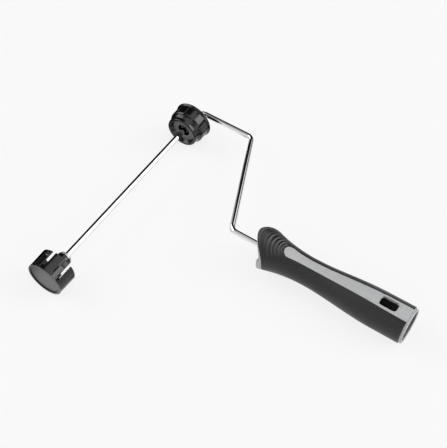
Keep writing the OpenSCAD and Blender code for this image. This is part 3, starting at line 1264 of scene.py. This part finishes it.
def level_plane(name, corners, height, color, glow):
    """A flat stage piece over corners given in metres."""
    points = [(x, y, 0) for x, y in corners]
    return stage_piece(name, points, [tuple(range(len(corners)))], height, color, glow)


def add_backdrop():
    """A pale wall far away all round, which only the camera sees."""
    sides = 64
    points = []
    for k in range(sides):
        angle = 2 * math.pi * k / sides
        for height in (-1, BACKDROP_R):
            points.append((BACKDROP_R * math.cos(angle), BACKDROP_R * math.sin(angle), height))
    faces = []
    for k in range(sides):
        here = 2 * k
        after = 2 * ((k + 1) % sides)
        faces.append((here, after, after + 1, here + 1))
    backdrop = stage_piece("backdrop", points, faces, 0, 0.0, BACKDROP_GLOW)
    backdrop.visible_glossy = False
    backdrop.visible_diffuse = False
    backdrop.visible_shadow = False
    backdrop.visible_transmission = False


def add_card(name, corners, height, glow):
    """A studio card that only shows in reflections."""
    card = level_plane(name, corners, height, 0.0, glow)
    card.visible_camera = False
    card.visible_diffuse = False
    card.visible_shadow = False
    card.visible_transmission = False


def add_floor():
    """A pale table that glows a little, so shadows stay faint, with cards for the chrome."""
    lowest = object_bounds()[0][2]
    half = FLOOR_HALF
    whole = [(-half, -half), (half, -half), (half, half), (-half, half)]
    behind = [(x, max(y, BLACK_CARD_FROM_Y)) for x, y in whole]
    upper = Vector((CRANK_X, -CRANK_DROP)) * MM
    lower = Vector((HANDLE_X, -SHANK_START)) * MM
    along = (upper - lower).normalized()
    left = Vector((-along.y, along.x)) * BLACK_STRIP_W
    beside_diagonal = [tuple(c) for c in (lower, upper, upper + left, lower + left)]
    floor = level_plane("floor", whole, lowest - 3 * LAYER, FLOOR_COLOR, FLOOR_GLOW)
    floor.visible_glossy = False
    add_card("white_card", whole, lowest - 2 * LAYER, WHITE_CARD_GLOW)
    add_card("black_card", behind, lowest - LAYER, 0.0)
    add_card("black_strip", beside_diagonal, lowest - LAYER, 0.0)


def light_world():
    """A studio as the object sees it: soft boxes above and in front, a dark wall behind."""
    world = bpy.data.worlds.new("studio")
    scene.world = world
    world.use_nodes = True
    tree = world.node_tree
    background = tree.nodes["Background"]
    way = tree.nodes.new("ShaderNodeTexCoord").outputs["Generated"]

    def patch(direction, inner, outer, strength):
        """Full strength within so many degrees of a direction, fading out between the two."""
        dot = tree.nodes.new("ShaderNodeVectorMath")
        dot.operation = "DOT_PRODUCT"
        dot.inputs[1].default_value = Vector(direction).normalized()
        tree.links.new(way, dot.inputs[0])
        fade = tree.nodes.new("ShaderNodeMapRange")
        fade.interpolation_type = "SMOOTHSTEP"
        fade.inputs["From Min"].default_value = math.cos(math.radians(outer))
        fade.inputs["From Max"].default_value = math.cos(math.radians(inner))
        fade.inputs["To Min"].default_value = 0.0
        fade.inputs["To Max"].default_value = strength
        tree.links.new(dot.outputs["Value"], fade.inputs["Value"])
        return fade.outputs["Result"]

    def combine(operation, first, second):
        """Each of the two is a plain number or another node's output."""
        made = tree.nodes.new("ShaderNodeMath")
        made.operation = operation
        for key, value in enumerate((first, second)):
            if isinstance(value, float):
                made.inputs[key].default_value = value
            else:
                tree.links.new(value, made.inputs[key])
        return made.outputs[0]

    total = AMBIENT
    for box in SOFT_BOXES:
        total = combine("ADD", patch(*box), total)
    wall = combine("MULTIPLY", patch(*DARK_WALL), patch(*DARK_WALL_SIDE))
    open_part = combine("SUBTRACT", 1.0, wall)
    total = combine("MULTIPLY", total, open_part)
    tree.links.new(total, background.inputs["Strength"])
    background.inputs["Color"].default_value = (1, 1, 1, 1)
    scene.view_settings.view_transform = "Standard"


# ---- The whole object ----------------------------------------------------------------------

add_wire()
add_washer("near_outer_washer")
add_washer("near_inner_washer")
# the pair deep in the nose is painted dark for the shadow there
add_washer("far_inner_washer", SHADE_DARK_STEEL)
add_washer("far_outer_washer")
add_retainer("near_outer_retainer", -1)
add_retainer("near_inner_retainer", 1)
add_retainer("far_inner_retainer", -1, SHADE_DARK_STEEL)
add_retainer("far_outer_retainer", 1)
add_bush("near_bush", "free_end_cap")
add_bush("far_bush", "inner_cap")
add_near_cap()
add_near_disc()
add_far_cap()
add_far_nose()
add_grip()
add_core()
add_camera()
add_floor()
add_backdrop()
light_world()
